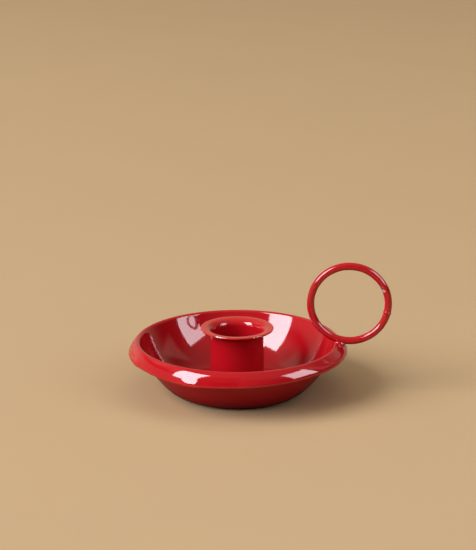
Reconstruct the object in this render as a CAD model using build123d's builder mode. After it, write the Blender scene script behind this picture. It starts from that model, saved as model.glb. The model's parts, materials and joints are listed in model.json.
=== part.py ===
"""Chamberstick with a finger loop: a pressed dish, a candle cup and a welded wire ring.

Millimetres, +Z up. The origin is the centre of the underside, on the table, and the finger ring
stands towards +X. Every sheet thickness includes its fired enamel coat.
"""

import os
from math import atan2, cos, degrees, radians, sin, tan

from build123d import *

# Dish, one pressed sheet: bends are given as inside radii
DISH_RADIUS = 49.0  # widest point of the rolled rim
DISH_HEIGHT = 23.4  # crest of the rolled rim above the table
DISH_SHEET = 1.0
FLOOR_RADIUS = 24.8  # flat underside that stands on the table
FLOOR_BEND = 9.6  # floor to curved wall
BEND_LIMIT_SHARE = 0.95  # share of the room beneath the upper wall that the floor bend may take up
UPPER_WALL = 3.0  # straight stretch of the upper wall, along its slope
UPPER_WALL_ANGLE = 68.0  # degrees from level
CREST_BEND = 0.3  # roll: upper wall, over the crest, to the brow
BROW_BEND = 9.5  # roll: sloping brow from the crest to the curl
BROW_TOP_ANGLE = 40.0  # degrees below level, where the brow leaves the crest
BROW_LOW_ANGLE = 70.0  # degrees below level, where the brow meets the curl
CURL_BEND = 0.15  # roll: brow to the hem beneath
HEM_GAP = 0.5  # between the hem's raw edge and the wall

# Candle cup, one drawn sheet
CUP_BORE = 22.5  # for a standard 22 mm dinner candle
CUP_SHEET = 1.0
CUP_HEIGHT = 28.4  # from the dish's floor to the top of the lip
CUP_CORNER = 0.8  # inside radius at the cup's bottom
LIP_RADIUS = 16.4
LIP_BEND = 2.2  # inside radius of the flare
LIP_TILT = 4.0  # degrees that the lip rises outwards
LIP_ROUND_SHARE = 0.8  # rounding of the lip's edge, as a share of half the sheet
FLARE_LIMIT_SHARE = 0.7  # share of the lip's overhang that the flare may take up

# Fillet of weld metal around the cup's foot
CUP_WELD_LEG = 1.5
CUP_WELD_HOLLOW_SHARE = 0.36  # where the hollow face passes, as a share of the leg
CUP_WELD_ROOT_SHARE = 0.4  # how near the root reaches to the cup's corner centre

# Finger ring, round wire
RING_BORE = 31.2
WIRE = 3.4
RING_LEAN = 15.2  # degrees from upright, about the centre of the rim's crest, to the ring's foot
SEAT_DEPTH = 0.45  # how far the wire is set into the rim
JOINT_ANGLE = -13.0  # degrees from +X, in the ring's plane, to the closing joint
JOINT_GAP = 0.8  # between the two ends of the wire
JOINT_CROWN = 0.2  # how far the closing bead stands proud of the wire
CROWN_ROUND_SHARE = 0.9  # rounding of the closing bead, as a share of its crown

# Saddle of weld metal under the ring
SEAT_WELD_LENGTH = 5.4  # along the wire
SEAT_WELD_WIDTH = 4.8  # across the wire
SEAT_WELD_SHIFT = 1.0  # from the ring's foot, outwards along the wire

RIGHT_ANGLE = 90.0
HALF_TURN = 180.0
FULL_TURN = 360.0


def run(length):
    """A straight stretch of a sheet's section."""
    return ("run", length, 0)


def bend(radius, turn):
    """An arc of a sheet's section, by its radius on the drawn face: left is positive."""
    return ("bend", radius, turn)


def draw_face(start, moves, depth):
    """Draws one face of a bent sheet, depth to the right of the face that the moves follow."""
    point = Vector(start[0], start[1] - depth)
    heading = Vector(1, 0)
    for kind, size, turn in moves:
        if kind == "run":
            edge = Line(point, point + heading * size)
        elif turn > 0:
            edge = JernArc(point, heading, size + depth, turn)
        else:
            edge = JernArc(point, heading, size - depth, turn)
        point = edge @ 1
        heading = edge % 1
    return point


def draw_sheet(start, moves, thickness):
    """Draws the closed section of a bent sheet that starts on the axis."""
    top_end = draw_face(start, moves, 0)
    under_end = draw_face(start, moves, thickness)
    Line(top_end, under_end)
    Line(start, (start[0], start[1] - thickness))


# Dish: the roll hangs from its crest, and the wall is the long arc from the floor bend to the upper wall
crest_radius = CREST_BEND + DISH_SHEET
brow_radius = BROW_BEND + DISH_SHEET
curl_radius = CURL_BEND + DISH_SHEET
slope = radians(UPPER_WALL_ANGLE)
brow_top = radians(BROW_TOP_ANGLE)
brow_low = radians(BROW_LOW_ANGLE)
curl_x = DISH_RADIUS - curl_radius
brow_width = brow_radius * (sin(brow_low) - sin(brow_top))
brow_drop = brow_radius * (cos(brow_top) - cos(brow_low))
crest_x = curl_x + curl_radius * sin(brow_low) - brow_width - crest_radius * sin(brow_top)
crest_z = DISH_HEIGHT - crest_radius
curl_z = crest_z + crest_radius * cos(brow_top) - brow_drop - curl_radius * cos(brow_low)
roll_x = crest_x - crest_radius * sin(slope)
roll_z = DISH_HEIGHT - crest_radius * (1 - cos(slope))
wall_top_x = roll_x - UPPER_WALL * cos(slope)
wall_top_z = roll_z - UPPER_WALL * sin(slope)
wall_rise = wall_top_z - DISH_SHEET
wall_foot = wall_top_x - wall_rise / tan(slope)
floor_room = (wall_foot - FLOOR_RADIUS) / tan(slope / 2)
floor_bend = min(FLOOR_BEND, floor_room * BEND_LIMIT_SHARE)
bend_across = wall_top_x - FLOOR_RADIUS
bend_up = wall_rise - floor_bend
bend_inset = bend_across * sin(slope) - bend_up * cos(slope)
wall_bend = (bend_across**2 + bend_up**2 - floor_bend**2) / (2 * (bend_inset - floor_bend))
wall_angle = degrees(atan2(wall_bend * sin(slope) - bend_across, wall_bend * cos(slope) + bend_up))
hem_z = curl_z - curl_radius + DISH_SHEET
wall_back_x = roll_x + DISH_SHEET * sin(slope)
wall_back_z = roll_z - DISH_SHEET * cos(slope)
hem_end = wall_back_x - (wall_back_z - hem_z) / tan(slope) + HEM_GAP
crest_turn = UPPER_WALL_ANGLE + BROW_TOP_ANGLE
brow_turn = BROW_LOW_ANGLE - BROW_TOP_ANGLE
curl_turn = HALF_TURN - BROW_LOW_ANGLE
roll_moves = [
    bend(crest_radius, -crest_turn),
    bend(brow_radius, -brow_turn),
    bend(curl_radius, -curl_turn),
    run(curl_x - hem_end),
]
dish_moves = [
    run(FLOOR_RADIUS),
    bend(floor_bend, wall_angle),
    bend(wall_bend, UPPER_WALL_ANGLE - wall_angle),
    run(UPPER_WALL),
] + roll_moves

# Ring: its foot rests on the crest of the rim, leaning outwards
ring_radius = (RING_BORE + WIRE) / 2
lean = radians(RING_LEAN)
ring_reach = crest_radius - SEAT_DEPTH + WIRE / 2 + ring_radius
ring_x = crest_x + ring_reach * sin(lean)
ring_z = crest_z + ring_reach * cos(lean)
ring_axis = Axis((ring_x, 0, ring_z), (0, -1, 0))
gap_angle = degrees(JOINT_GAP / ring_radius)


def wire_plane(angle):
    """The plane square to the wire at an angle from +X, with its origin on the wire's centre line."""
    turn = radians(angle)
    outwards = Vector(cos(turn), 0, sin(turn))
    along = Vector(-sin(turn), 0, cos(turn))
    return Plane(Vector(ring_x, 0, ring_z) + outwards * ring_radius, x_dir=outwards, z_dir=along)


with BuildPart() as ring_bar:
    with BuildSketch(wire_plane(JOINT_ANGLE)):
        Circle(WIRE / 2)
    revolve(axis=ring_axis)

with BuildPart() as dish:
    with BuildSketch(Plane.XZ):
        with BuildLine():
            draw_sheet((0, DISH_SHEET), dish_moves, DISH_SHEET)
        make_face()
    revolve(axis=Axis.Z)
    add(ring_bar.part, mode=Mode.SUBTRACT)

# Candle cup: bottom on the dish's floor, straight bore, flare and lip
cup_floor = DISH_SHEET
bore_radius = CUP_BORE / 2
flare_room = (LIP_RADIUS - bore_radius) * FLARE_LIMIT_SHARE
flare_radius = min(LIP_BEND + CUP_SHEET, flare_room)
tilt = radians(LIP_TILT)
lip_run = (LIP_RADIUS - bore_radius - flare_radius * (1 - sin(tilt))) / cos(tilt)
flare_top = CUP_HEIGHT - lip_run * sin(tilt)
bore_run = flare_top - flare_radius * cos(tilt) - CUP_SHEET - CUP_CORNER
cup_moves = [
    run(bore_radius - CUP_CORNER),
    bend(CUP_CORNER, RIGHT_ANGLE),
    run(bore_run),
    bend(flare_radius, LIP_TILT - RIGHT_ANGLE),
    run(lip_run),
]

with BuildPart() as candle_cup:
    with BuildSketch(Plane.XZ) as cup_section:
        with BuildLine():
            draw_sheet((0, cup_floor + CUP_SHEET), cup_moves, CUP_SHEET)
        make_face()
        fillet(cup_section.vertices().sort_by(Axis.X)[-2:], CUP_SHEET / 2 * LIP_ROUND_SHARE)
    revolve(axis=Axis.Z)

# Cup weld: a hollow-faced fillet between the cup's foot and the dish's floor
cup_radius = bore_radius + CUP_SHEET
weld_root = cup_radius - (CUP_CORNER + CUP_SHEET) * (1 - CUP_WELD_ROOT_SHARE)
weld_top = cup_floor + CUP_CORNER + CUP_SHEET + CUP_WELD_LEG
weld_hollow = CUP_WELD_LEG * CUP_WELD_HOLLOW_SHARE

with BuildPart() as cup_weld:
    with BuildSketch(Plane.XZ):
        with BuildLine():
            Line((weld_root, cup_floor), (cup_radius + CUP_WELD_LEG, cup_floor))
            ThreePointArc(
                (cup_radius + CUP_WELD_LEG, cup_floor),
                (cup_radius + weld_hollow, cup_floor + CUP_WELD_LEG),
                (cup_radius, weld_top),
            )
            Line((cup_radius, weld_top), (weld_root, cup_floor))
        make_face()
    revolve(axis=Axis.Z)
    add(candle_cup.part, mode=Mode.SUBTRACT)

# Finger ring: wire bent round to a narrow joint
with BuildPart() as finger_ring:
    with BuildSketch(wire_plane(JOINT_ANGLE + gap_angle / 2)):
        Circle(WIRE / 2)
    revolve(axis=ring_axis, revolution_arc=FULL_TURN - gap_angle)

# Ring joint weld: a low bead that fills the joint
with BuildPart() as ring_joint_weld:
    with BuildSketch(wire_plane(JOINT_ANGLE - gap_angle / 2)):
        Circle(WIRE / 2 + JOINT_CROWN)
    revolve(axis=ring_axis, revolution_arc=gap_angle)
    fillet(ring_joint_weld.edges().filter_by(GeomType.CIRCLE), JOINT_CROWN * CROWN_ROUND_SHARE)

# Ring seat weld: a long drop of metal, cut by the rim and by the wire that it joins
with BuildPart() as rim_body:
    with BuildSketch(Plane.XZ):
        with BuildLine():
            crest = JernArc((roll_x, roll_z), (cos(slope), sin(slope)), crest_radius, -crest_turn)
            brow = JernArc(crest @ 1, crest % 1, brow_radius, -brow_turn)
            curl = JernArc(brow @ 1, brow % 1, curl_radius, -curl_turn)
            Polyline(curl @ 1, (roll_x, (curl @ 1).Y), crest @ 0)
        make_face()
    revolve(axis=Axis.Z)

foot = Vector(crest_x + crest_radius * sin(lean), 0, crest_z + crest_radius * cos(lean))
foot_along = Vector(cos(lean), 0, -sin(lean))
drop_plane = Plane(foot + foot_along * SEAT_WELD_SHIFT, x_dir=foot_along, z_dir=(0, 1, 0))

with BuildPart() as ring_seat_weld:
    with BuildSketch(drop_plane):
        with BuildLine():
            drop = EllipticalCenterArc((0, 0), SEAT_WELD_LENGTH / 2, SEAT_WELD_WIDTH / 2, arc_size=HALF_TURN)
            Line(drop @ 1, drop @ 0)
        make_face()
    revolve(axis=Axis(drop_plane.origin, drop_plane.x_dir))
    add(rim_body.part, mode=Mode.SUBTRACT)
    add(ring_bar.part, mode=Mode.SUBTRACT)

pieces = {
    "dish": dish,
    "candle_cup": candle_cup,
    "cup_weld": cup_weld,
    "finger_ring": finger_ring,
    "ring_joint_weld": ring_joint_weld,
    "ring_seat_weld": ring_seat_weld,
}

os.makedirs("parts", exist_ok=True)
for name, piece in pieces.items():
    piece.part.label = name
    export_step(piece.part, f"parts/{name}.step")
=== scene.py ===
"""Chamberstick with a finger loop: red vitreous enamel on a pressed dish, a drawn cup and a wire ring.

Laid out as an add-on and run as a script. Metres, +Z up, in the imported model's own frame: the dish
stands on the origin and the ring rises from its rim towards +X.
"""

import json
import math

import bpy
from bpy.props import FloatProperty, FloatVectorProperty, IntProperty, PointerProperty
from mathutils import Matrix, Vector


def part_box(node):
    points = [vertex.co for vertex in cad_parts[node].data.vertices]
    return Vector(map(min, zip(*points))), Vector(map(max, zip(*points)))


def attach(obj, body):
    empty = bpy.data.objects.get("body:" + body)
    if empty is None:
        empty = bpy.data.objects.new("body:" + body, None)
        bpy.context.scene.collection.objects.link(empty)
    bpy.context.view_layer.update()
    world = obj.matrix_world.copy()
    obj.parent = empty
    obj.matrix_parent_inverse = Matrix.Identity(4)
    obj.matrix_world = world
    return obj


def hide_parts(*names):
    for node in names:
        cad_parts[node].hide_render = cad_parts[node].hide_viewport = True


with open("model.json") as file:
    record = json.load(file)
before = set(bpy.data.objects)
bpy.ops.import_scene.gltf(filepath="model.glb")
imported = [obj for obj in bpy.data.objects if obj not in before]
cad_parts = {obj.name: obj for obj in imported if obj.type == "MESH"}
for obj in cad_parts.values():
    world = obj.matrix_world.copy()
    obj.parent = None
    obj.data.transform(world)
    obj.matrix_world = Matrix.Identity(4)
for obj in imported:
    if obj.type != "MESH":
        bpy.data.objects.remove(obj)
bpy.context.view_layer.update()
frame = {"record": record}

bl_info = {
    "name": "Chamberstick",
    "version": (1, 0, 0),
    "blender": (4, 5, 0),
    "location": "View3D > Sidebar > Chamberstick",
    "description": "Builds an enamelled chamberstick with a finger loop around its packed frame",
    "category": "Add Mesh",
}

BODY = "root"
PHOTO_WIDTH = 476
PHOTO_HEIGHT = 550
RIGHT_ANGLE = math.pi / 2
FULL_TURN = 2 * math.pi
MM = 0.001

# Seeds of the pieces' unevenness
DISH_SEED = 11.0
CUP_SEED = 23.0
CUP_WELD_SEED = 31.0
RING_SEED = 41.0
JOINT_SEED = 53.0
SEAT_SEED = 67.0

_, DISH_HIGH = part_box("dish")
CUP_LOW, CUP_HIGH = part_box("candle_cup")
RING_LOW, RING_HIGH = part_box("finger_ring")
SOCKET = next(m for m in frame["record"]["mounts"] if m["name"] == "candle_socket")


def length(name, default, description):
    """A length property in metres."""
    return FloatProperty(name=name, default=default, description=description, unit="LENGTH", precision=5)


def turn(name, default, description):
    """An angle property, given in degrees and kept in radians."""
    return FloatProperty(name=name, default=math.radians(default), description=description, subtype="ANGLE")


def share(name, default, description):
    """A number from 0 to 1."""
    return FloatProperty(
        name=name, default=default, description=description, min=0.0, max=1.0, subtype="FACTOR"
    )


def colour(name, default, description):
    """A linear colour."""
    return FloatVectorProperty(
        name=name, default=default, description=description, min=0.0, max=1.0, subtype="COLOR"
    )


class DishSizes(bpy.types.PropertyGroup):
    """The pressed dish and its rolled rim. Bends are inside radii."""

    radius: length("Radius", DISH_HIGH.y, "Widest point of the rolled rim")
    height: length("Height", DISH_HIGH.z, "Crest of the rim above the table")
    sheet: length("Sheet", 1.0 * MM, "Steel with the enamel on both faces")
    floor_radius: length("Floor radius", 24.8 * MM, "Flat underside")
    floor_bend: length("Floor bend", 9.6 * MM, "Floor to curved wall")
    upper_wall: length("Upper wall", 3.0 * MM, "Straight stretch of the upper wall")
    upper_wall_angle: turn("Upper wall angle", 68.0, "Slope of the upper wall from level")
    crest_bend: length("Crest bend", 0.3 * MM, "Upper wall, over the crest, to the brow")
    brow_bend: length("Brow bend", 9.5 * MM, "Sloping brow from the crest to the curl")
    brow_top_angle: turn("Brow top angle", 40.0, "Below level, where the brow leaves the crest")
    brow_low_angle: turn("Brow low angle", 70.0, "Below level, where the brow meets the curl")
    curl_bend: length("Curl bend", 0.15 * MM, "Brow to the hem")
    hem_gap: length("Hem gap", 0.5 * MM, "Between the hem's edge and the wall")
    roll_droop: length("Roll droop", 1.5 * MM, "How much lower the roll hangs in front than beside the ring")
    roll_reach: length("Roll reach", 0.9 * MM, "How much further the roll was turned out beside the ring")
    roll_tuck: length("Roll tuck", 0.41 * MM, "How far the roll's lower part is tucked in where it is steep")
    roll_mark: length("Roll mark", 0.08 * MM, "Depth of the faint line that the rolling left along the brow")
    roll_wave: length("Roll wave", 0.12 * MM, "Unevenness of the hand-turned roll")
    wall_wave: length("Wall wave", 0.05 * MM, "Unevenness of the pressed wall")
    segments: IntProperty(name="Segments", default=288, description="Steps around the dish", min=24)


class CupSizes(bpy.types.PropertyGroup):
    """The candle cup and the fillet of weld metal round its foot."""

    bore_radius: length("Bore radius", SOCKET["dims"]["r_mm"] * MM, "For a standard dinner candle")
    sheet: length("Sheet", 1.0 * MM, "Steel with the enamel on both faces")
    bottom: length("Bottom", CUP_LOW.z, "Underside of the cup, on the dish's floor")
    top: length("Top", CUP_HIGH.z, "Top of the lip")
    lip_radius: length("Lip radius", CUP_HIGH.y, "Outer edge of the flared lip")
    lip_bend: length("Lip bend", 2.2 * MM, "Inside radius of the flare")
    lip_tilt: turn("Lip tilt", 4.0, "How far the lip rises outwards")
    corner: length("Corner", 0.8 * MM, "Inside radius at the cup's bottom")
    weld_leg: length("Weld leg", 1.5 * MM, "Leg of the fillet at the cup's foot")
    wave: length("Wave", 0.04 * MM, "Unevenness of the drawn tube")
    weld_wave: length("Weld wave", 0.16 * MM, "Lumps along the fillet")
    segments: IntProperty(name="Segments", default=240, description="Steps around the cup", min=24)


class RingSizes(bpy.types.PropertyGroup):
    """The wire finger ring, its closing joint and its seat on the rim."""

    wire: length("Wire", RING_HIGH.y - RING_LOW.y, "Thickness of the wire")
    joint_angle: turn("Joint angle", -13.0, "From +X, in the ring's plane, to the closing joint")
    joint_gap: length("Joint gap", 0.8 * MM, "Between the two ends of the wire")
    joint_crown: length("Joint crown", 0.2 * MM, "How far the closing bead stands proud")
    lean: turn("Lean", 15.2, "From upright, about the rim's crest, to the ring's foot")
    seat_length: length("Seat length", 5.2 * MM, "Saddle of weld metal, along the wire")
    seat_width: length("Seat width", 4.5 * MM, "Saddle of weld metal, across the wire")
    seat_height: length("Seat height", 3.4 * MM, "Saddle of weld metal, from below to above")
    seat_shift: length("Seat shift", 1.0 * MM, "From the ring's foot, outwards along the wire")
    seat_sink: length("Seat sink", 0.5 * MM, "Middle of the saddle below the rim's crest")
    wave: length("Wave", 0.04 * MM, "Unevenness of the enamelled wire")
    joint_wave: length("Joint wave", 0.40 * MM, "Lumps on the closing bead")
    seat_wave: length("Seat wave", 0.7 * MM, "Lumps on the saddle")
    steps: IntProperty(name="Steps", default=360, description="Steps along the wire", min=48)
    joint_steps: IntProperty(name="Joint steps", default=72, description="Steps around the bead", min=24)


class EnamelLook(bpy.types.PropertyGroup):
    """The red vitreous enamel."""

    red: colour("Red", (0.46, 0.0055, 0.0120), "Even face of the enamel")
    deep_red: colour("Deep red", (0.31, 0.0020, 0.0070), "Where the enamel pooled thick")
    # Edge red is partly thinner enamel and partly a painted sheen: crest, curl and the lip's top are painted
    # lighter and more orange.
    edge_red_and_sheen: colour("Edge red", (0.62, 0.035, 0.024), "Where the enamel ran thin over an edge")
    steel: colour("Bare steel", (0.030, 0.024, 0.022), "Fired steel in a chip")
    # The pale chip rim colour is glass round a chip, and also painted glints at spots of low level.
    chip_rim_and_glint: colour("Chip rim", (0.62, 0.42, 0.40), "Broken glass round a chip")
    roughness: share("Roughness", 0.045, "Gloss of the fired face")


class StageLook(bpy.types.PropertyGroup):
    """Floor, lights and camera."""

    floor: colour("Floor", (0.530, 0.378, 0.221), "Plain pale floor")
    floor_bounce: share("Floor bounce", 0.64, "Share of its colour that the near floor throws back")
    backdrop: colour("Backdrop", (0.690, 0.590, 0.470), "Plain pale surroundings")
    camera_azimuth: turn("Camera azimuth", 3.783, "Round from the front, towards the ring")
    camera_elevation: turn("Camera elevation", 18.91, "Above the aim point")
    camera_distance: length("Camera distance", 0.81528, "From the aim point")
    aim_height: length("Aim height", 12 * MM, "Aim point above the table, on the dish's axis")
    aim_pixel: FloatVectorProperty(
        name="Aim pixel",
        default=(237.13, 363.41),
        size=2,
        description="Where the aim point falls in the picture",
    )
    focal_pixels: FloatProperty(
        name="Focal pixels", default=1800.0, description="Focal length in picture pixels"
    )


class ChamberstickSettings(bpy.types.PropertyGroup):
    """Everything that a user would change."""

    dish: PointerProperty(type=DishSizes)
    cup: PointerProperty(type=CupSizes)
    ring: PointerProperty(type=RingSizes)
    enamel: PointerProperty(type=EnamelLook)
    stage: PointerProperty(type=StageLook)


class Field:
    """A node's output. Operators on it add Math nodes to its tree."""

    def __init__(self, maker, socket):
        self.maker = maker
        self.socket = socket

    def math(self, operation, *others):
        """One Math node with this field first."""
        return self.maker.math(operation, self, *others)

    def __add__(self, other):
        return self.math("ADD", other)

    def __radd__(self, other):
        return self.maker.math("ADD", other, self)

    def __sub__(self, other):
        return self.math("SUBTRACT", other)

    def __rsub__(self, other):
        return self.maker.math("SUBTRACT", other, self)

    def __mul__(self, other):
        return self.math("MULTIPLY", other)

    def __rmul__(self, other):
        return self.maker.math("MULTIPLY", other, self)

    def __truediv__(self, other):
        return self.math("DIVIDE", other)

    def __rtruediv__(self, other):
        return self.maker.math("DIVIDE", other, self)

    def larger(self, other):
        """The larger of two values."""
        return self.math("MAXIMUM", other)

    def smaller(self, other):
        """The smaller of two values."""
        return self.math("MINIMUM", other)

    def rise(self, low, high):
        """A smooth step from 0 at low to 1 at high."""
        inputs = {"Value": self, "From Min": low, "From Max": high}
        return self.maker.add("ShaderNodeMapRange", {"interpolation_type": "SMOOTHSTEP"}, inputs)

    def band(self, low, full, fading, gone):
        """A smooth step up and, further on, a smooth step down."""
        return self.rise(low, full) * (1.0 - self.rise(fading, gone))


class NodeMaker:
    """Adds nodes to one tree, of shader or geometry nodes."""

    def __init__(self, tree):
        self.tree = tree

    def add(self, kind, settings=None, inputs=None, output=0):
        """One node: its type, its settings, its sockets' values or links, and the output wanted."""
        node = self.tree.nodes.new(kind)
        for name, value in (settings or {}).items():
            setattr(node, name, value)
        for key, value in (inputs or {}).items():
            if isinstance(value, Field):
                self.tree.links.new(value.socket, node.inputs[key])
            else:
                node.inputs[key].default_value = value
        return Field(self, node.outputs[output]) if node.outputs else None

    def math(self, operation, *values):
        """One Math node."""
        return self.add("ShaderNodeMath", {"operation": operation}, dict(enumerate(values)))

    def vector_math(self, operation, *values, output=0):
        """One Vector Math node."""
        return self.add("ShaderNodeVectorMath", {"operation": operation}, dict(enumerate(values)), output)

    def join(self, x, y, z):
        """A vector from three values."""
        return self.add("ShaderNodeCombineXYZ", None, {0: x, 1: y, 2: z})

    def split(self, vector):
        """A vector's three values."""
        first = self.add("ShaderNodeSeparateXYZ", None, {0: vector})
        return [Field(self, socket) for socket in first.socket.node.outputs]

    def scale(self, vector, factor):
        """A vector times a value."""
        return self.add("ShaderNodeVectorMath", {"operation": "SCALE"}, {"Vector": vector, "Scale": factor})

    def noise(self, place, size, seed, detail=2.0, roughness=0.5):
        """Noise from 0 to 1 whose features are about one size across."""
        settings = {"noise_dimensions": "4D"}
        inputs = {"Vector": place, "W": seed, "Scale": 1 / size, "Detail": detail, "Roughness": roughness}
        return self.add("ShaderNodeTexNoise", settings, inputs)

    def mix_colour(self, factor, first, second):
        """From the first colour to the second."""
        inputs = {0: factor, 6: first, 7: second}
        return self.add("ShaderNodeMix", {"data_type": "RGBA"}, inputs, 2)


def paint(values):
    """A colour property as a socket's four numbers."""
    return (*values, 1.0)


# Sections of bent sheet
SECTION_STEP = 0.8 * MM


def run(size, step=SECTION_STEP):
    """A straight stretch of a sheet's section."""
    return ("run", size, 0.0, step)


def bend(radius, angle, step=SECTION_STEP):
    """An arc of a sheet's section, by its radius on the drawn face: left is positive."""
    return ("bend", radius, angle, step)


def follow(start, moves, depth, edge_size):
    """Points (radius, height, convexity) along one face of a bent sheet, depth under the drawn one."""
    arc_step = math.radians(7)
    x, z = start[0], start[1] - depth
    heading = 0.0
    points = [(x, z, 0.0)]
    for kind, size, angle, step in moves:
        if kind == "run":
            count = max(1, math.ceil(size / step))
            for i in range(1, count + 1):
                along = size * i / count
                points.append((x + along * math.cos(heading), z + along * math.sin(heading), 0.0))
        else:
            side = math.copysign(1.0, angle)
            radius = size + depth * side
            centre_x = x - side * radius * math.sin(heading)
            centre_z = z + side * radius * math.cos(heading)
            convex = -side if depth == 0 else side
            count = max(3, math.ceil(abs(angle) / arc_step), math.ceil(abs(angle) * radius / step))
            for i in range(1, count + 1):
                now = heading + angle * i / count
                point_x = centre_x + side * radius * math.sin(now)
                point_z = centre_z - side * radius * math.cos(now)
                points.append((point_x, point_z, convex * min(1.0, edge_size / radius)))
            heading += angle
        x, z = points[-1][:2]
    return points, heading


def sheet_section(start, moves, thickness, edge_size):
    """The outline of a bent sheet with a rounded raw edge, from the axis out and back again."""
    edge_steps = 10
    top, heading = follow(start, moves, 0.0, edge_size)
    under, _ = follow(start, moves, thickness, edge_size)
    middle_x = (top[-1][0] + under[-1][0]) / 2
    middle_z = (top[-1][1] + under[-1][1]) / 2
    edge = []
    for i in range(1, edge_steps):
        now = heading + RIGHT_ANGLE - math.pi * i / edge_steps
        reach = thickness / 2
        edge.append((middle_x + reach * math.cos(now), middle_z + reach * math.sin(now), 1.0))
    return top + edge + under[::-1]


def softened(points):
    """The outline with its convexity spread over the neighbouring points."""
    rounds = 4
    for _ in range(rounds):
        values = [p[2] for p in points]
        padded = values[:1] + values + values[-1:]
        means = [(padded[i] + 2 * padded[i + 1] + padded[i + 2]) / 4 for i in range(len(values))]
        points = [(p[0], p[1], mean) for p, mean in zip(points, means)]
    return points


# Geometry node trees
TREE_SOCKETS = {"int": "NodeSocketInt", "float": "NodeSocketFloat", "material": "NodeSocketMaterial"}


def start_tree(name, inputs):
    """A geometry tree with named inputs, as its maker and its inputs' fields."""
    tree = bpy.data.node_groups.new(name, "GeometryNodeTree")
    tree.interface.new_socket("Geometry", in_out="INPUT", socket_type="NodeSocketGeometry")
    for label, kind in inputs.items():
        tree.interface.new_socket(label, in_out="INPUT", socket_type=TREE_SOCKETS[kind])
    tree.interface.new_socket("Geometry", in_out="OUTPUT", socket_type="NodeSocketGeometry")
    maker = NodeMaker(tree)
    entry = tree.nodes.new("NodeGroupInput")
    return maker, {socket.name: Field(maker, socket) for socket in entry.outputs if socket.name}


def end_tree(maker, body, material):
    """Realizes, smooths and paints the body, and gives it out."""
    body = maker.add("GeometryNodeSetShadeSmooth", None, {"Geometry": body})
    body = maker.add("GeometryNodeRealizeInstances", None, {"Geometry": body})
    body = maker.add("GeometryNodeSetMaterial", None, {"Geometry": body, "Material": material})
    leave = maker.tree.nodes.new("NodeGroupOutput")
    maker.tree.links.new(body.socket, leave.inputs[0])
    return maker.tree


def store(maker, body, name, value):
    """Keeps a value on the body's points, for the enamel to read."""
    inputs = {"Geometry": body, "Name": name, "Value": value}
    return maker.add("GeometryNodeStoreNamedAttribute", {"data_type": "FLOAT", "domain": "POINT"}, inputs)


def move(maker, body, offset):
    """Moves the body's points."""
    return maker.add("GeometryNodeSetPosition", None, {"Geometry": body, "Offset": offset})


def place_field(maker):
    """The points' places."""
    return maker.add("GeometryNodeInputPosition")


def swell(maker, body, amount):
    """Moves the body's points outwards by an amount."""
    outwards = maker.add("GeometryNodeInputNormal")
    return move(maker, body, maker.scale(outwards, amount))


def turned_body(maker, given):
    """The given profile turned about Z, closed at its seam and poles."""
    merge_distance = 1e-6
    place = place_field(maker)
    grid_inputs = {
        "Size X": 1.0,
        "Size Y": 1.0,
        "Vertices X": given["Profile Points"],
        "Vertices Y": given["Segments"] + 1.0,
    }
    body = maker.add("GeometryNodeMeshGrid", None, grid_inputs)
    across, around, _ = maker.split(place)
    row = ((across + 0.5) * (given["Profile Points"] - 1.0)).math("ROUND")
    angle = (around + 0.5) * FULL_TURN
    convexity = maker.add("GeometryNodeInputNamedAttribute", {"data_type": "FLOAT"}, {"Name": "convexity"})
    sample = {"Geometry": given["Geometry"], "Index": row}
    edge = maker.add("GeometryNodeSampleIndex", {"data_type": "FLOAT"}, {**sample, "Value": convexity})
    section = maker.add("GeometryNodeSampleIndex", {"data_type": "FLOAT_VECTOR"}, {**sample, "Value": place})
    radius, _, height = maker.split(section)
    body = store(maker, body, "edge", edge)
    spot = maker.join(radius * angle.math("COSINE"), radius * angle.math("SINE"), height)
    body = maker.add("GeometryNodeSetPosition", None, {"Geometry": body, "Position": spot})
    return maker.add("GeometryNodeMergeByDistance", None, {"Geometry": body, "Distance": merge_distance})


def spot_mask(maker, spots):
    """At each spot (place, size, level) its level, with a ragged outline, and 0 beyond its size."""
    ragged_size = 0.9 * MM
    full_share = 0.55
    place = place_field(maker)
    ragged = maker.noise(place, ragged_size, seed=3.0) - 0.5
    mask = None
    for spot, size, level in spots:
        far = maker.vector_math("DISTANCE", place, spot, output=1) + ragged * size
        one = (1.0 - far.rise(size * full_share, size)) * level
        mask = one if mask is None else mask.larger(one)
    return mask


def chip(maker, body, spots, depth):
    """Breaks enamel away at the spots, and marks where glass round a break and, at full level, steel show;
    spots of low level stay pale all over as painted glints.
    """
    mask = spot_mask(maker, spots)
    body = store(maker, body, "chip", mask)
    return swell(maker, body, mask * -depth)


def new_object(name, mesh):
    """An object in the scene, at the origin."""
    piece = bpy.data.objects.new(name, mesh)
    bpy.context.scene.collection.objects.link(piece)
    return piece


def profile_mesh(name, points):
    """The outline as loose points, with their convexity."""
    mesh = bpy.data.meshes.new(name)
    mesh.from_pydata([(x, 0.0, z) for x, z, _ in points], [], [])
    values = mesh.attributes.new("convexity", "FLOAT", "POINT")
    values.data.foreach_set("value", [p[2] for p in points])
    return mesh


def grow(name, source, tree, values):
    """Runs a tree on a source mesh and keeps the result as a plain mesh."""
    piece = new_object(name, source)
    modifier = piece.modifiers.new("Build", "NODES")
    modifier.node_group = tree
    names = {i.name: i.identifier for i in tree.interface.items_tree if i.in_out == "INPUT"}
    for label, value in values.items():
        modifier[names[label]] = value
    graph = bpy.context.evaluated_depsgraph_get()
    result = bpy.data.meshes.new_from_object(piece.evaluated_get(graph))
    result.name = name
    piece.modifiers.remove(modifier)
    piece.data = result
    if not result.polygons:
        raise RuntimeError(f"{name} came out empty")
    return piece


def settle(piece, node):
    """Lets a finished piece stand for its node in the frame."""
    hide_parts(node)
    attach(piece, BODY)


# Turned pieces
LATHE_INPUTS = {
    "Profile Points": "int",
    "Segments": "int",
    "Wave": "float",
    "Seed": "float",
    "Material": "material",
}


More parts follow.
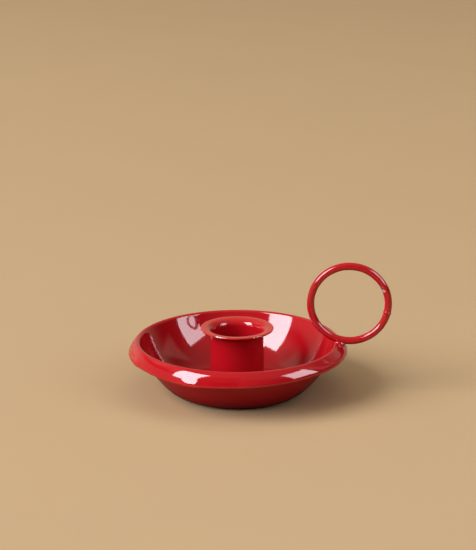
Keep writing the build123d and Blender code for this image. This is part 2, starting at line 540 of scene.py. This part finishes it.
def lathe_values(points, segments, wave, seed):
    """The common inputs of a turned piece."""
    return {
        "Profile Points": len(points),
        "Segments": segments,
        "Wave": wave,
        "Seed": seed,
        "Material": enamel_material(),
    }


def bead_tree(name, lump_size, inwards):
    """Turns a bead of weld metal and makes it lumpy. Noise below the inwards level presses it in."""
    maker, given = start_tree(name, LATHE_INPUTS)
    body = turned_body(maker, given)
    lumps = maker.noise(place_field(maker), lump_size, given["Seed"], detail=1.0) - inwards
    body = swell(maker, body, lumps * given["Wave"])
    return end_tree(maker, body, given["Material"])


# Enamel
def enamel_material():
    """Glossy red vitreous enamel: pooled in hollows, lighter and more orange over edges (thinner enamel and a
    painted sheen), flaked to the steel in places, with pale painted glints at some spots.
    """
    name = "vitreous_red"
    if name in bpy.data.materials:
        return bpy.data.materials[name]
    look = bpy.context.scene.chamberstick.enamel
    material = bpy.data.materials.new(name)
    material.use_nodes = True
    material.node_tree.nodes.clear()
    maker = NodeMaker(material.node_tree)
    place = maker.add("ShaderNodeTexCoord", None, None, "Object")
    _, _, height = maker.split(place)
    edge = maker.add("ShaderNodeAttribute", {"attribute_name": "edge"}, None, "Fac")
    # The chip mask holds real chips and also painted glints, pale spots of low level.
    chip_and_glint_mask = maker.add("ShaderNodeAttribute", {"attribute_name": "chip"}, None, "Fac")

    cloud_size = 16 * MM
    grain_size = 0.8 * MM
    peel_size = 3.2 * MM
    speck_size = 1.1 * MM
    scuff_size = 2.5 * MM
    scuff_squeeze = (1.0, 6.0, 1.0)
    worn_below = 0.1 * MM
    whole_above = 0.9 * MM
    cloud = maker.noise(place, cloud_size, seed=1.0, detail=3.0)
    grain = maker.noise(place, grain_size, seed=2.0, detail=2.0)
    peel = maker.noise(place, peel_size, seed=4.0, detail=1.0)
    specks = maker.noise(place, speck_size, seed=6.0, detail=0.0).rise(0.80, 0.86)
    squeezed = maker.vector_math("MULTIPLY", place, scuff_squeeze)
    scuffs = maker.noise(squeezed, scuff_size, seed=8.0, detail=4.0)
    worn = (1.0 - height.rise(worn_below, whole_above)) * scuffs.rise(0.42, 0.62)

    # Partly thinner enamel, partly a painted sheen: convex edges and the lip's top are painted lighter and
    # more orange.
    thin_and_sheen = edge.rise(0.35, 1.0) * (0.45 + 0.55 * cloud)
    pooled = (0.0 - edge).rise(0.1, 0.9) * 0.8 + (cloud - 0.5).larger(0.0) * 0.7
    red = maker.mix_colour(pooled.smaller(1.0), paint(look.red), paint(look.deep_red))
    red = maker.mix_colour(thin_and_sheen, red, paint(look.edge_red_and_sheen))
    red = maker.mix_colour(specks * 0.5 + (grain - 0.5).larger(0.0) * 0.25, red, paint(look.deep_red))
    # Pale glass round a chip and painted glints where the level stays low; steel at full level.
    chip_and_glint_tone = maker.mix_colour(chip_and_glint_mask.rise(0.45, 0.75), paint(look.chip_rim_and_glint), paint(look.steel))
    surface = maker.mix_colour(chip_and_glint_mask.rise(0.08, 0.30), red, chip_and_glint_tone)

    gloss = look.roughness + grain * 0.02 + cloud * 0.02 + worn * 0.22 + specks * 0.05
    roughness = (gloss + chip_and_glint_mask.rise(0.3, 0.8) * 0.4).smaller(0.9)
    relief = peel * 0.7 + grain * 0.12 - specks * 0.25 - worn * 0.1
    relief_depth = 0.12 * MM
    bump = maker.add("ShaderNodeBump", None, {"Strength": 0.07, "Distance": relief_depth, "Height": relief})
    shader_inputs = {
        "Base Color": surface,
        "Roughness": roughness,
        "Normal": bump,
        "IOR": 1.5,
        "Specular IOR Level": 0.5,
    }
    shader = maker.add("ShaderNodeBsdfPrincipled", None, shader_inputs)
    maker.add("ShaderNodeOutputMaterial", None, {"Surface": shader})
    return material


# Dish
def crest_place(sizes):
    """The radius of the crest's top and the height of the curl's middle."""
    crest = sizes.crest_bend + sizes.sheet
    brow = sizes.brow_bend + sizes.sheet
    curl = sizes.curl_bend + sizes.sheet
    top = sizes.brow_top_angle
    low = sizes.brow_low_angle
    across = crest * math.sin(top) + brow * (math.sin(low) - math.sin(top)) + curl * (1 - math.sin(low))
    down = crest * (1 - math.cos(top)) + brow * (math.cos(top) - math.cos(low)) + curl * math.cos(low)
    return sizes.radius - across, sizes.height - down


def dish_section(sizes):
    """The dish's outline: the roll hangs from its crest, and one long arc joins floor bend and upper wall."""
    floor_step = 2.0 * MM
    brow_step = 0.25 * MM
    sheet = sizes.sheet
    crest = sizes.crest_bend + sheet
    brow = sizes.brow_bend + sheet
    curl = sizes.curl_bend + sheet
    slope = sizes.upper_wall_angle
    top = sizes.brow_top_angle
    low = sizes.brow_low_angle
    crest_x, curl_z = crest_place(sizes)
    roll_x = crest_x - crest * math.sin(slope)
    roll_z = sizes.height - crest * (1 - math.cos(slope))
    across = roll_x - sizes.upper_wall * math.cos(slope) - sizes.floor_radius
    up = roll_z - sizes.upper_wall * math.sin(slope) - sheet - sizes.floor_bend
    inset = across * math.sin(slope) - up * math.cos(slope)
    wall_bend = (across**2 + up**2 - sizes.floor_bend**2) / (2 * (inset - sizes.floor_bend))
    wall_angle = math.atan2(wall_bend * math.sin(slope) - across, wall_bend * math.cos(slope) + up)
    hem_z = curl_z - curl + sheet
    back_x = roll_x + sheet * math.sin(slope)
    back_z = roll_z - sheet * math.cos(slope)
    hem_end = back_x - (back_z - hem_z) / math.tan(slope) + sizes.hem_gap
    moves = [
        run(sizes.floor_radius, floor_step),
        bend(sizes.floor_bend, wall_angle),
        bend(wall_bend, slope - wall_angle),
        run(sizes.upper_wall),
        bend(crest, -slope - top),
        bend(brow, top - low, brow_step),
        bend(curl, low - math.pi),
        run(sizes.radius - curl - hem_end - sheet / 2),
    ]
    sharp_edge = 0.7 * MM
    outline = sheet_section((0.0, sheet), moves, sheet, sharp_edge)
    pool_deep = 6 * MM
    pool_top = 15 * MM
    pool_level = 0.75
    for i in range(len(outline) // 2):
        x, z, _ = outline[i]
        if z < pool_top:
            outline[i] = (x, z, -pool_level * min(1.0, (pool_top - z) / (pool_top - pool_deep)))
    return softened(outline)


# Angle and half width, in degrees, of each stretch where the roll's lower part is tucked in
ROLL_TUCKS = ((-132.0, 21.5), (-95.0, 12.5))
TUCK_FULL_SHARE = 0.7


def dish_tree(sizes):
    """Turns the dish, lets its roll hang unevenly and keeps it inside its nominal size."""
    uneven = ("Roll Droop", "Roll Reach", "Roll Tuck", "Roll Mark", "Roll Wave")
    maker, given = start_tree("dish_lathe", {**LATHE_INPUTS, **dict.fromkeys(uneven, "float")})
    body = turned_body(maker, given)
    place = place_field(maker)
    x, y, z = maker.split(place)
    radius = (x * x + y * y).math("SQRT")
    crest_x, curl_z = crest_place(sizes)
    slant = 1 / math.tan(sizes.upper_wall_angle)
    mark_width = 0.9 * MM
    mark_rise = 2.0 * MM
    from_mark = (z - (curl_z + mark_rise)).math("ABSOLUTE")
    on_brow = radius.rise(crest_x + 0.6 * MM, crest_x + 1.4 * MM)
    far_side = (0.0 - x / sizes.radius).rise(0.0, 0.4)
    heading = maker.math("ARCTAN2", y, x)
    loose = 1.0
    for angle, half in ROLL_TUCKS:
        aside = (heading - math.radians(angle)).math("ABSOLUTE")
        loose = loose * aside.rise(math.radians(TUCK_FULL_SHARE * half), math.radians(half))
    mark = on_brow * far_side * loose * (1.0 - from_mark.rise(0.0, mark_width))
    body = swell(maker, body, mark * given["Roll Mark"] * -1.0)
    behind_wall = crest_x - 0.05 * MM - (sizes.height - 1.1 * MM - z) * slant
    on_roll = (radius - behind_wall).rise(-0.15 * MM, 0.2 * MM)
    full_below = curl_z + 0.4 * MM
    tuck_top = curl_z + 4.2 * MM
    hanging = on_roll * (1.0 - z.rise(full_below, sizes.height - 0.4 * MM))
    across = x / sizes.radius
    level_at = 0.29
    slide = 0.2
    beside_ring = across.rise(0.66, 1.0)
    even_side = 1.0 - 0.9 * (0.0 - across).rise(0.35, 0.8)
    droop = hanging * given["Roll Droop"] * (across - level_at) * even_side
    lower_roll = on_roll * (1.0 - z.rise(full_below, tuck_top))
    tuck = lower_roll * (1.0 - loose) * given["Roll Tuck"]
    reach = (hanging * given["Roll Reach"] * beside_ring - droop * slide - tuck) / radius.larger(1.0 * MM)
    body = move(maker, body, maker.join(x * reach, y * reach, droop))

    # Below this level the noise presses the sheet inwards, so that it stays inside its nominal size
    inwards = 0.78
    broad_size = 34 * MM
    turned_size = 20 * MM
    broad = maker.noise(place, broad_size, given["Seed"], detail=3.0, roughness=0.6) - inwards
    turned = maker.noise(place, turned_size, given["Seed"] + 5.0, detail=2.0, roughness=0.4) - inwards
    off_foot = z.rise(0.0, 1.5 * MM)
    off_crest = 1.0 - z.rise(sizes.height - 1.5 * MM, sizes.height - 0.3 * MM)
    on_wall = (1.0 - on_roll) * off_foot * off_crest
    wave = broad * given["Wave"] * on_wall + turned * given["Roll Wave"] * on_roll * off_crest
    body = swell(maker, body, wave)

    limit = sizes.radius + given["Roll Reach"] * beside_ring
    trim = (limit / radius.larger(sizes.radius * 0.5)).smaller(1.0)
    inside = maker.join(x * trim, y * trim, z.larger(0.0).smaller(sizes.height))
    body = maker.add("GeometryNodeSetPosition", None, {"Geometry": body, "Position": inside})
    return end_tree(maker, body, given["Material"])


class CHAMBERSTICK_OT_dish(bpy.types.Operator):
    """Build the enamelled dish with its rolled rim"""

    bl_idname = "chamberstick.dish"
    bl_label = "Dish"

    def execute(self, context):
        sizes = context.scene.chamberstick.dish
        points = dish_section(sizes)
        values = lathe_values(points, sizes.segments, sizes.wall_wave, DISH_SEED)
        values["Roll Droop"] = sizes.roll_droop
        values["Roll Reach"] = sizes.roll_reach
        values["Roll Tuck"] = sizes.roll_tuck
        values["Roll Mark"] = sizes.roll_mark
        values["Roll Wave"] = sizes.roll_wave
        piece = grow("enamel_dish", profile_mesh("dish_outline", points), dish_tree(sizes), values)
        settle(piece, "dish")
        return {"FINISHED"}


# Candle cup
def cup_section(sizes):
    """The cup's outline: flat bottom, straight bore, flare and lip."""
    sheet = sizes.sheet
    flare = sizes.lip_bend + sheet
    tilt = sizes.lip_tilt
    lip_run = (sizes.lip_radius - sizes.bore_radius - flare * (1 - math.sin(tilt))) / math.cos(tilt)
    lip_rise = lip_run * math.sin(tilt)
    tall = sizes.top - sizes.bottom
    bore_run = tall - lip_rise - flare * math.cos(tilt) - sheet - sizes.corner
    moves = [
        run(sizes.bore_radius - sizes.corner),
        bend(sizes.corner, RIGHT_ANGLE),
        run(bore_run),
        bend(flare, tilt - RIGHT_ANGLE),
        run(lip_run - sheet / 2),
    ]
    sharp_edge = 1.6 * MM
    points = sheet_section((0.0, sizes.bottom + sheet), moves, sheet, sharp_edge)
    # The lip's whole top takes the edge colour: partly thinner enamel, partly a painted sheen on its
    # up-facing face.
    thin_sheen_level = 0.9
    thin_sheen_from = sizes.bore_radius + 0.5 * flare
    lip_low = sizes.top - 1.2 * sheet
    points = [(x, z, thin_sheen_level if x > thin_sheen_from and z > lip_low else c) for x, z, c in points]
    return softened(points)


# Angle, drop below the lip's top as a share of the sheet, size and level of each spot: level 1 bares the
# steel, the lower levels are pale painted glints along the lip's edge
LIP_CHIPS_AND_GLINTS = (
    (-120.0, 0.42, 0.50 * MM, 0.40),
    (-117.4, 0.50, 0.55 * MM, 0.42),
    (-113.6, 0.55, 0.60 * MM, 0.42),
    (-110.6, 0.75, 0.42 * MM, 1.00),
    (-58.6, 0.50, 0.52 * MM, 0.42),
    (-52.6, 0.45, 0.46 * MM, 0.42),
)


def cup_tree(sizes):
    """Turns the cup, makes it slightly uneven, breaks its lip's edge at one spot and paints pale glints along
    that edge.
    """
    chip_depth = 0.16 * MM
    wave_size = 22 * MM
    inwards = 0.75
    maker, given = start_tree("cup_lathe", LATHE_INPUTS)
    body = turned_body(maker, given)
    wave = maker.noise(place_field(maker), wave_size, given["Seed"], detail=1.0) - inwards
    body = swell(maker, body, wave * given["Wave"])
    chips_and_glints = []
    for angle, drop, size, level in LIP_CHIPS_AND_GLINTS:
        now = math.radians(angle)
        reach = sizes.lip_radius - 0.15 * MM
        spot = (reach * math.cos(now), reach * math.sin(now), sizes.top - drop * sizes.sheet)
        chips_and_glints.append((spot, size, level))
    # One spot is bared to the steel; the other pale spots are painted glints.
    body = chip(maker, body, chips_and_glints, chip_depth)
    return end_tree(maker, body, given["Material"])


class CHAMBERSTICK_OT_candle_cup(bpy.types.Operator):
    """Build the candle cup with its flared lip, flaked at one spot, with pale painted glints along its edge
    """

    bl_idname = "chamberstick.candle_cup"
    bl_label = "Candle cup"

    def execute(self, context):
        sizes = context.scene.chamberstick.cup
        points = cup_section(sizes)
        values = lathe_values(points, sizes.segments, sizes.wave, CUP_SEED)
        piece = grow("enamel_cup", profile_mesh("cup_outline", points), cup_tree(sizes), values)
        settle(piece, "candle_cup")
        return {"FINISHED"}


def cup_weld_section(sizes):
    """The fillet's outline: a hollow face between the cup's foot and the dish's floor."""
    face_steps = 14
    overlap = 0.25 * MM
    hollow = 0.62
    pooled = -0.8
    tube = sizes.bore_radius + sizes.sheet
    foot = sizes.bottom
    top = foot + sizes.corner + sizes.sheet + sizes.weld_leg
    points = [(tube - overlap, top, 0.0)]
    for i in range(face_steps + 1):
        along = i / face_steps
        sag = hollow * math.sin(math.pi * along) * sizes.weld_leg * 0.5
        out = tube + sizes.weld_leg * along - sag
        points.append((max(out, tube), top + (foot - top) * along - sag * 0.4, pooled))
    points = [(x, max(z, foot), c) for x, z, c in points]
    points.append((tube - sizes.sheet * 0.6, foot, 0.0))
    points.append(points[0])
    return points


class CHAMBERSTICK_OT_cup_weld(bpy.types.Operator):
    """Build the fillet of weld metal round the cup's foot"""

    bl_idname = "chamberstick.cup_weld"
    bl_label = "Cup weld"

    def execute(self, context):
        sizes = context.scene.chamberstick.cup
        points = cup_weld_section(sizes)
        values = lathe_values(points, sizes.segments, sizes.weld_wave, CUP_WELD_SEED)
        tree = bead_tree("cup_weld_lathe", lump_size=3.4 * MM, inwards=0.62)
        piece = grow("cup_fillet", profile_mesh("cup_weld_outline", points), tree, values)
        settle(piece, "cup_weld")
        return {"FINISHED"}


# Finger ring
def ring_centre():
    """The middle of the finger ring."""
    return (RING_LOW + RING_HIGH) / 2


def ring_radius(sizes):
    """From the ring's middle to the wire's centre line."""
    return (RING_HIGH.z - RING_LOW.z - sizes.wire) / 2


def on_ring(sizes, angle, outwards, forwards):
    """A point near the wire: outwards from its centre line, and forwards towards -Y."""
    reach = ring_radius(sizes) + outwards
    return ring_centre() + Vector((reach * math.cos(angle), -forwards, reach * math.sin(angle)))


# Angle, outwards and forwards as shares of the wire, size and level of each spot: the bare pit, a pale patch
# beside it, and two pale spots by the joint that are painted glints
RING_PITS_AND_GLINTS = (
    (28.0, -0.38, 0.32, 1.00 * MM, 1.00),
    (23.4, -0.26, 0.43, 0.85 * MM, 0.40),
    (-11.0, -0.24, 0.44, 0.36 * MM, 0.42),
    (-12.0, 0.27, 0.42, 0.36 * MM, 0.42),
)


def ring_tree(sizes):
    """Sweeps the wire round to its joint, with an uneven coat, a bare pit, a pale patch beside it and pale
    painted glints by the joint.
    """
    pit_depth = 0.22 * MM
    coat_size = 9 * MM
    inwards = 0.78
    wire_steps = 56
    inputs = {"Steps": "int", "Wave": "float", "Seed": "float", "Material": "material"}
    maker, given = start_tree("ring_sweep", inputs)
    gap = sizes.joint_gap / ring_radius(sizes)
    arc_inputs = {
        "Resolution": given["Steps"],
        "Radius": ring_radius(sizes),
        "Start Angle": sizes.joint_angle + gap / 2,
        "Sweep Angle": FULL_TURN - gap,
    }
    path = maker.add("GeometryNodeCurveArc", {"mode": "RADIUS"}, arc_inputs)
    circle_inputs = {"Resolution": wire_steps, "Radius": sizes.wire / 2}
    circle = maker.add("GeometryNodeCurvePrimitiveCircle", {"mode": "RADIUS"}, circle_inputs)
    sweep = {"Curve": path, "Profile Curve": circle, "Fill Caps": True}
    body = maker.add("GeometryNodeCurveToMesh", None, sweep)
    upright = {"Geometry": body, "Rotation": (RIGHT_ANGLE, 0.0, 0.0), "Translation": ring_centre()}
    body = maker.add("GeometryNodeTransform", None, upright)
    coat = maker.noise(place_field(maker), coat_size, given["Seed"], detail=2.0) - inwards
    body = swell(maker, body, coat * given["Wave"])
    pits_and_glints = []
    for angle, outwards, forwards, size, level in RING_PITS_AND_GLINTS:
        spot = on_ring(sizes, math.radians(angle), outwards * sizes.wire, forwards * sizes.wire)
        pits_and_glints.append((spot, size, level))
    # The pit is bared to the steel; the two pale spots by the joint are painted glints.
    body = chip(maker, body, pits_and_glints, pit_depth)
    return end_tree(maker, body, given["Material"])


class CHAMBERSTICK_OT_finger_ring(bpy.types.Operator):
    """Build the wire finger ring"""

    bl_idname = "chamberstick.finger_ring"
    bl_label = "Finger ring"

    def execute(self, context):
        sizes = context.scene.chamberstick.ring
        values = {"Steps": sizes.steps, "Wave": sizes.wave, "Seed": RING_SEED, "Material": enamel_material()}
        piece = grow("enamel_ring", bpy.data.meshes.new("ring_start"), ring_tree(sizes), values)
        settle(piece, "finger_ring")
        return {"FINISHED"}


def joint_section(sizes):
    """The closing bead's outline, turned about the wire: a low crown between two flat sides."""
    crown_steps = 16
    overlap = 0.35 * MM
    side_depth = 0.25 * MM
    thinness = 0.3
    half = sizes.joint_gap / 2 + overlap
    crown = sizes.wire / 2 + sizes.joint_crown
    side = sizes.wire / 2 - side_depth
    points = [(0.0, half, 0.0)]
    for i in range(crown_steps + 1):
        along = math.pi * i / crown_steps
        points.append((side + (crown - side) * math.sin(along), half * math.cos(along), thinness))
    points.append((0.0, -half, 0.0))
    return points


class CHAMBERSTICK_OT_ring_joint(bpy.types.Operator):
    """Build the bead that closes the wire ring"""

    bl_idname = "chamberstick.ring_joint"
    bl_label = "Ring joint"

    def execute(self, context):
        sizes = context.scene.chamberstick.ring
        points = joint_section(sizes)
        values = lathe_values(points, sizes.joint_steps, sizes.joint_wave, JOINT_SEED)
        tree = bead_tree("joint_lathe", lump_size=1.5 * MM, inwards=0.60)
        piece = grow("ring_joint_bead", profile_mesh("joint_outline", points), tree, values)
        along = Vector((-math.sin(sizes.joint_angle), 0.0, math.cos(sizes.joint_angle)))
        turn_to = Vector((0.0, 0.0, 1.0)).rotation_difference(along).to_matrix().to_4x4()
        piece.data.transform(Matrix.Translation(on_ring(sizes, sizes.joint_angle, 0.0, 0.0)) @ turn_to)
        settle(piece, "ring_joint_weld")
        return {"FINISHED"}


def seat_tree(sizes, middle, along):
    """A lumpy saddle of weld metal round the ring's foot."""
    lump_size = 2.2 * MM
    inwards = 0.60
    inputs = {"Wave": "float", "Seed": "float", "Material": "material"}
    maker, given = start_tree("seat_drop", inputs)
    ball = {"Segments": 96, "Rings": 48, "Radius": 1.0}
    body = maker.add("GeometryNodeMeshUVSphere", None, ball)
    half = Vector((sizes.seat_length, sizes.seat_width, sizes.seat_height)) / 2
    shape = {"Geometry": body, "Scale": half, "Rotation": along, "Translation": middle}
    body = maker.add("GeometryNodeTransform", None, shape)
    lumps = maker.noise(place_field(maker), lump_size, given["Seed"], detail=1.5) - inwards
    body = swell(maker, body, lumps * given["Wave"])
    return end_tree(maker, body, given["Material"])


class CHAMBERSTICK_OT_ring_seat(bpy.types.Operator):
    """Build the saddle of weld metal that holds the ring on the rim"""

    bl_idname = "chamberstick.ring_seat"
    bl_label = "Ring seat"

    def execute(self, context):
        sizes = context.scene.chamberstick.ring
        dish = context.scene.chamberstick.dish
        crest = dish.crest_bend + dish.sheet
        crest_x, _ = crest_place(dish)
        upwards = Vector((math.sin(sizes.lean), 0.0, math.cos(sizes.lean)))
        outwards = Vector((math.cos(sizes.lean), 0.0, -math.sin(sizes.lean)))
        middle = Vector((crest_x, 0.0, dish.height - crest)) + upwards * (crest - sizes.seat_sink)
        values = {"Wave": sizes.seat_wave, "Seed": SEAT_SEED, "Material": enamel_material()}
        tree = seat_tree(sizes, middle + outwards * sizes.seat_shift, (0.0, sizes.lean, 0.0))
        piece = grow("ring_seat_drop", bpy.data.meshes.new("seat_start"), tree, values)
        settle(piece, "ring_seat_weld")
        return {"FINISHED"}


# Stage
def floor_material(look):
    """Plain matt floor, which throws less light back on to the object close to its foot."""
    cloud_size = 90 * MM
    cloud_gain = 1.04
    least_share = 0.15
    foot_edge, foot_end = 26 * MM, 54 * MM
    mirror_edge, mirror_end = 46 * MM, 78 * MM
    near_edge, near_end = 110 * MM, 220 * MM
    black = (0.0, 0.0, 0.0, 1.0)
    material = bpy.data.materials.new("pale_floor")
    material.use_nodes = True
    material.node_tree.nodes.clear()
    maker = NodeMaker(material.node_tree)
    place = maker.add("ShaderNodeTexCoord", None, None, "Object")
    seen = maker.add("ShaderNodeLightPath", None, None, "Is Camera Ray")
    mirrored = maker.add("ShaderNodeLightPath", None, None, "Is Glossy Ray")
    cloud = maker.noise(place, cloud_size, seed=2.0, detail=3.0)
    paler = tuple(min(1.0, c * cloud_gain) for c in look.floor)
    far = maker.vector_math("LENGTH", place, output=1)
    near_share = least_share + (1.0 - least_share) * far.rise(foot_edge, foot_end)
    kept = look.floor_bounce * near_share + (1.0 - look.floor_bounce) * far.rise(near_edge, near_end)
    kept = kept.larger(mirrored * far.rise(mirror_edge, mirror_end))
    tone = maker.mix_colour(cloud, paint(look.floor), paint(paler))
    tone = maker.mix_colour(seen.larger(kept), black, tone)
    shader_inputs = {"Base Color": tone, "Roughness": 0.9, "Specular IOR Level": 0.1}
    shader = maker.add("ShaderNodeBsdfPrincipled", None, shader_inputs)
    maker.add("ShaderNodeOutputMaterial", None, {"Surface": shader})
    return material


def round_floor(look):
    """A wide round floor."""
    reach = 6.0
    sides = 96
    mesh = bpy.data.meshes.new("floor")
    ring = [FULL_TURN * i / sides for i in range(sides)]
    corners = [(reach * math.cos(a), reach * math.sin(a), 0.0) for a in ring]
    mesh.from_pydata(corners, [], [list(range(sides))])
    mesh.materials.append(floor_material(look))
    return new_object("floor", mesh)


def studio_world(look):
    """Pale surroundings for the eye, pale patches by direction for the gloss, and a soft fill."""
    world = bpy.data.worlds.new("studio")
    world.use_nodes = True
    world.node_tree.nodes.clear()
    maker = NodeMaker(world.node_tree)
    side, depth, height = maker.split(maker.add("ShaderNodeTexCoord", None, None, "Generated"))
    seen = maker.add("ShaderNodeLightPath", None, None, "Is Camera Ray")
    glossy = maker.add("ShaderNodeLightPath", None, None, "Is Glossy Ray")
    left = 0.0 - side
    front = 0.0 - depth
    overhead = 0.50 * height.rise(0.45, 0.85)
    behind = 0.70 * depth.rise(0.30, 0.80) * (1.0 - height.rise(0.30, 0.75))
    left_low = 0.65 * left.rise(0.30, 0.90) * (1.0 - height.rise(0.28, 0.42))
    left_level = 0.40 + 0.60 * depth.rise(0.05, 0.25)
    left_high = left_level * left.rise(0.40, 0.70) * height.band(0.44, 0.60, 0.75, 0.90)
    right_end = 1.0 - (height + depth).rise(0.88, 0.98)
    right_side = side.rise(0.30, 0.50) * depth.rise(0.12, 0.26)
    right_back = 0.75 * right_side * height.rise(0.26, 0.40) * right_end
    front_mid = 0.22 * front.rise(0.50, 0.90) * height.band(0.30, 0.42, 0.50, 0.62)
    mirrored = 0.03 + overhead + behind + left_low + left_high + right_back + front_mid
    fill = 0.06 + 1.05 * height.rise(0.60, 0.90)
    strength = seen + glossy * mirrored + (1.0 - seen.larger(glossy)) * fill
    back = maker.add("ShaderNodeBackground", None, {"Color": paint(look.backdrop), "Strength": strength})
    maker.add("ShaderNodeOutputWorld", None, {"Surface": back})
    bpy.context.scene.world = world


def gloss_lamp(lamp):
    """Makes a lamp for highlights alone: slightly cool, and brighter where it is mirrored twice."""
    cool_white = (0.96, 0.93, 1.0)
    second_gain = 1.2
    lamp.color = cool_white
    lamp.use_nodes = True
    lamp.node_tree.nodes.clear()
    maker = NodeMaker(lamp.node_tree)
    mirrorings = maker.add("ShaderNodeLightPath", None, None, "Glossy Depth")
    strength = 1.0 + second_gain * mirrorings.rise(1.2, 1.8)
    glow = maker.add("ShaderNodeEmission", None, {"Strength": strength})
    maker.add("ShaderNodeOutputLight", None, {"Surface": glow})


def outward(azimuth, elevation):
    """The direction at an angle round from the front and an angle above level."""
    level = math.cos(elevation)
    return Vector((math.sin(azimuth) * level, -math.cos(azimuth) * level, math.sin(elevation)))


def softbox(name, azimuth, elevation, width, height, radiance, distance, gloss):
    """A flat light that faces the dish, by its direction round from the camera and its half size as seen."""
    aim_height = 15 * MM
    aim = Vector((0.0, 0.0, aim_height))
    lamp = bpy.data.lights.new(name, "AREA")
    lamp.shape = "RECTANGLE"
    lamp.size = 2 * distance * width
    lamp.size_y = 2 * distance * height
    lamp.energy = radiance * math.pi * lamp.size * lamp.size_y
    if gloss:
        gloss_lamp(lamp)
    light = new_object(name, lamp)
    round_to = math.radians(azimuth) + bpy.context.scene.chamberstick.stage.camera_azimuth
    out = outward(round_to, math.radians(elevation))
    light.rotation_euler = out.to_track_quat("Z", "Y").to_euler()
    light.location = aim + out * distance
    light.visible_camera = False
    light.visible_diffuse = not gloss
    light.visible_glossy = gloss


def photo_camera(look):
    """A camera at the photograph's angle: its aim point falls on the aim pixel."""
    long_side = 36.0
    camera = bpy.data.cameras.new("camera")
    camera.sensor_width = long_side
    camera.lens = look.focal_pixels * long_side / PHOTO_HEIGHT
    piece = new_object("camera", camera)
    out = outward(look.camera_azimuth, look.camera_elevation)
    piece.location = Vector((0.0, 0.0, look.aim_height)) + out * look.camera_distance
    pitch = look.camera_elevation - math.atan((look.aim_pixel[1] - PHOTO_HEIGHT / 2) / look.focal_pixels)
    yaw = math.atan((look.aim_pixel[0] - PHOTO_WIDTH / 2) / look.focal_pixels)
    piece.rotation_euler = (RIGHT_ANGLE - pitch, 0.0, look.camera_azimuth + yaw)
    bpy.context.scene.camera = piece


# Name, azimuth and elevation in degrees, half width and half height as shares of the distance,
# radiance, distance in metres, and whether the lamp is for highlights alone
LAMPS = (
    ("left_softbox", -66.0, 32.0, 0.34, 0.34, 9.2, 4.0, False),
    ("left_gloss", -57.0, 33.5, 0.25, 0.335, 18.5, 3.9, True),
    ("right_softbox", 67.0, 33.0, 0.35, 0.35, 1.7, 4.0, False),
    ("right_gloss", 70.0, 31.3, 0.23, 0.235, 9.5, 0.3, True),
)


class CHAMBERSTICK_OT_stage(bpy.types.Operator):
    """Build the floor, the lights and the camera"""

    bl_idname = "chamberstick.stage"
    bl_label = "Stage"

    def execute(self, context):
        look = context.scene.chamberstick.stage
        round_floor(look)
        studio_world(look)
        for lamp in LAMPS:
            softbox(*lamp)
        photo_camera(look)
        context.scene.view_settings.view_transform = "Standard"
        return {"FINISHED"}


BUILDERS = (
    CHAMBERSTICK_OT_dish,
    CHAMBERSTICK_OT_candle_cup,
    CHAMBERSTICK_OT_cup_weld,
    CHAMBERSTICK_OT_finger_ring,
    CHAMBERSTICK_OT_ring_joint,
    CHAMBERSTICK_OT_ring_seat,
    CHAMBERSTICK_OT_stage,
)


class CHAMBERSTICK_PT_panel(bpy.types.Panel):
    """The chamberstick's builders and sizes"""

    bl_label = "Chamberstick"
    bl_idname = "CHAMBERSTICK_PT_panel"
    bl_space_type = "VIEW_3D"
    bl_region_type = "UI"
    bl_category = "Chamberstick"

    def draw(self, context):
        settings = context.scene.chamberstick
        for builder in BUILDERS:
            self.layout.operator(builder.bl_idname)
        for group in (settings.dish, settings.cup, settings.ring, settings.enamel, settings.stage):
            box = self.layout.box()
            for name in group.__annotations__:
                box.prop(group, name)


GROUPS = (DishSizes, CupSizes, RingSizes, EnamelLook, StageLook, ChamberstickSettings)
CLASSES = GROUPS + BUILDERS + (CHAMBERSTICK_PT_panel,)


def register():
    """Registers the classes and the scene's settings."""
    for item in CLASSES:
        bpy.utils.register_class(item)
    bpy.types.Scene.chamberstick = PointerProperty(type=ChamberstickSettings)


def unregister():
    """Takes the settings and the classes away again."""
    del bpy.types.Scene.chamberstick
    for item in reversed(CLASSES):
        bpy.utils.unregister_class(item)


def main():
    """Builds every piece and the stage."""
    register()
    bpy.ops.chamberstick.dish()
    bpy.ops.chamberstick.candle_cup()
    bpy.ops.chamberstick.cup_weld()
    bpy.ops.chamberstick.finger_ring()
    bpy.ops.chamberstick.ring_joint()
    bpy.ops.chamberstick.ring_seat()
    bpy.ops.chamberstick.stage()


if __name__ == "__main__":
    main()
